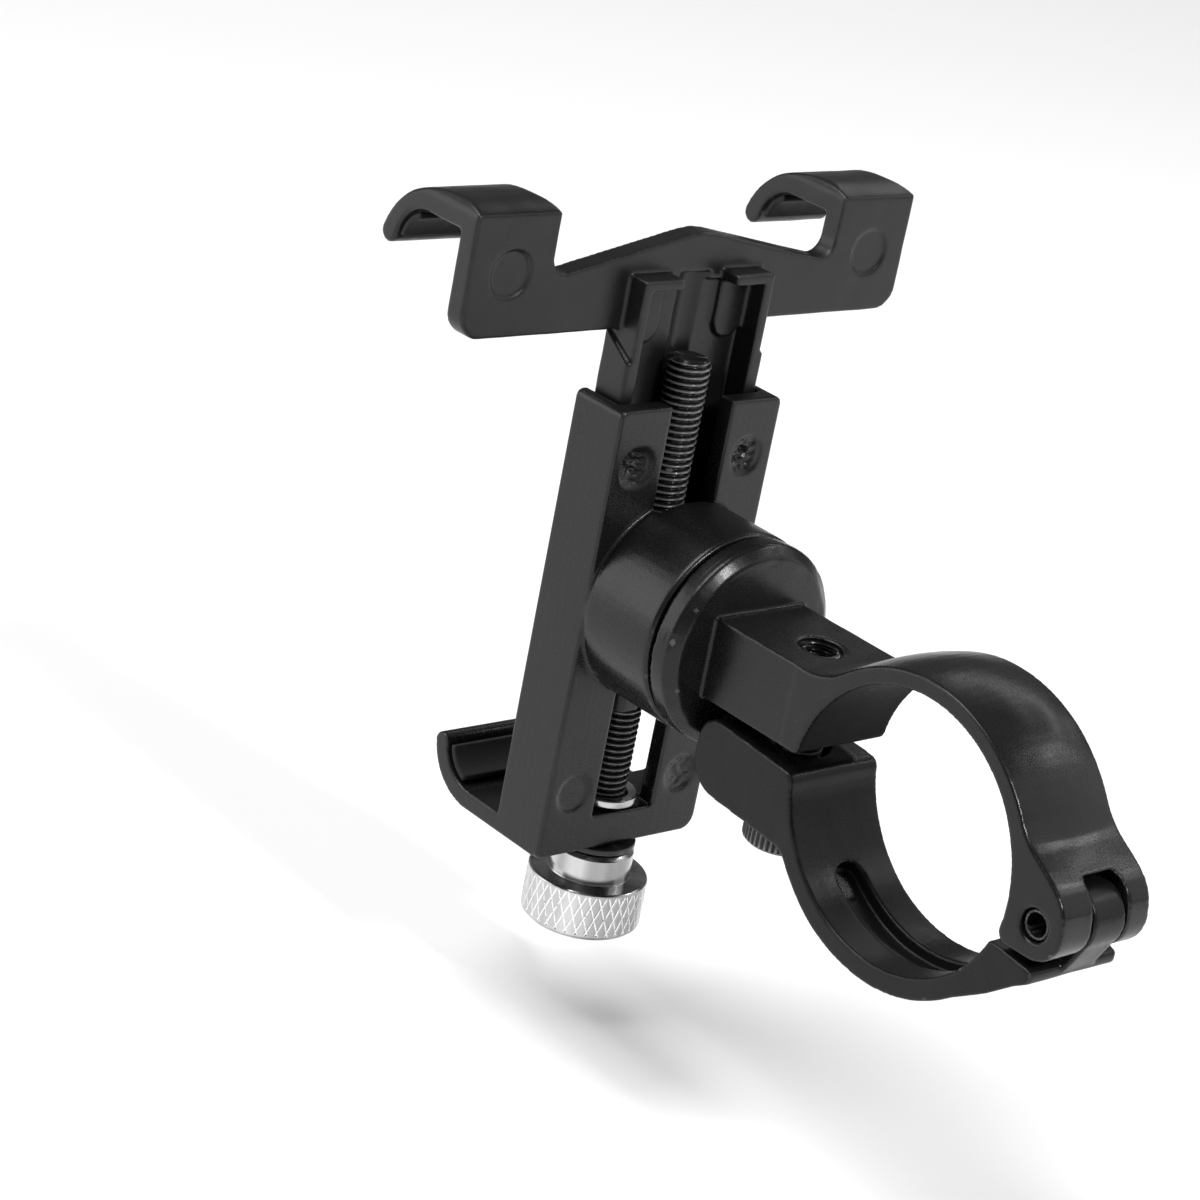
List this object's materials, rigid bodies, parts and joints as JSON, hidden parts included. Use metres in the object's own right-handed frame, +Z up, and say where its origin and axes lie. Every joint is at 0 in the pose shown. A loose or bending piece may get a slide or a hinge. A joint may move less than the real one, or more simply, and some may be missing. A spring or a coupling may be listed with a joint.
{
  "type": "handlebar phone mount",
  "caption": "Handlebar phone mount: hinged bar clamp, swivel drum, and a screw-driven cradle whose upper jaw slides to grip a phone.",
  "frame": {"origin": "centre of the handlebar bore of the clamp ring, midway along the bar", "axes": "+X along the handlebar, +Y from the bar towards the phone, +Z up"},
  "size_m": [0.0648, 0.0903, 0.0875],
  "materials": {
    "black_cast": "satin black anodised or powder-coated cast aluminium",
    "black_steel": "black oxide steel, oiled",
    "silver": "bright turned aluminium, knurled grip",
    "rubber": "matte"
  },
  "bodies": {
    "handlebar_clamp": {"upper_clamp": "black_cast", "hinge_pin": "black_steel", "swivel_bolt": "black_steel", "swivel_spring_washer": "black_steel", "swivel_washer": "black_steel", "friction_washer": "rubber"},
    "cradle": {"base_frame": "black_cast", "lower_pad": "rubber"},
    "upper_jaw": {"upper_jaw": "black_cast", "upper_pad_left": "rubber", "upper_pad_right": "rubber"},
    "screw": {"lead_screw": "black_steel", "retaining_collar": "silver", "knob_washer": "black_steel", "knob": "silver"},
    "lower_clamp": {"lower_clamp": "black_cast"},
    "clamp_bolt_travel": {"clamp_bolt_washer": "black_steel"},
    "clamp_bolt": {"clamp_bolt": "black_steel"}
  },
  "joints": [
    {"name": "swivel", "type": "hinge", "parent": "handlebar_clamp", "child": "cradle", "pos_m": [0, 0.035, 0.0068], "axis": [0, 1, 0], "continuous": true},
    {"name": "knob_spin", "type": "hinge", "parent": "cradle", "child": "screw", "pos_m": [0, 0.0496, -0.03], "axis": [0, 0, 1], "range_deg": [-11250, 3240]},
    {"name": "jaw_slide", "type": "slide", "parent": "cradle", "child": "upper_jaw", "axis": [0, 0, 1], "range_m": [-0.0072, 0.025]},
    {"name": "clamp_bolt_slide", "type": "slide", "parent": "handlebar_clamp", "child": "clamp_bolt_travel", "axis": [0, 0, 1], "range_m": [-0.00325, 0.00087]},
    {"name": "clamp_bolt_spin", "type": "hinge", "parent": "clamp_bolt_travel", "child": "clamp_bolt", "pos_m": [0, 0.0214, -0.01], "axis": [0, 0, 1], "range_deg": [-1462.5, 391.5]},
    {"name": "clamp_hinge", "type": "hinge", "parent": "handlebar_clamp", "child": "lower_clamp", "pos_m": [0, -0.0199, -0.0001], "axis": [1, 0, 0], "range_deg": [-4.51, 1.21]}
  ],
  "couplings": [
    {"joint": "knob_spin", "follows": "jaw_slide", "rad_per_m": -7854},
    {"joint": "clamp_bolt_spin", "follows": "clamp_bolt_slide", "rad_per_m": 7854},
    {"joint": "clamp_hinge", "follows": "clamp_bolt_slide", "rad_per_m": 24.213}
  ]
}
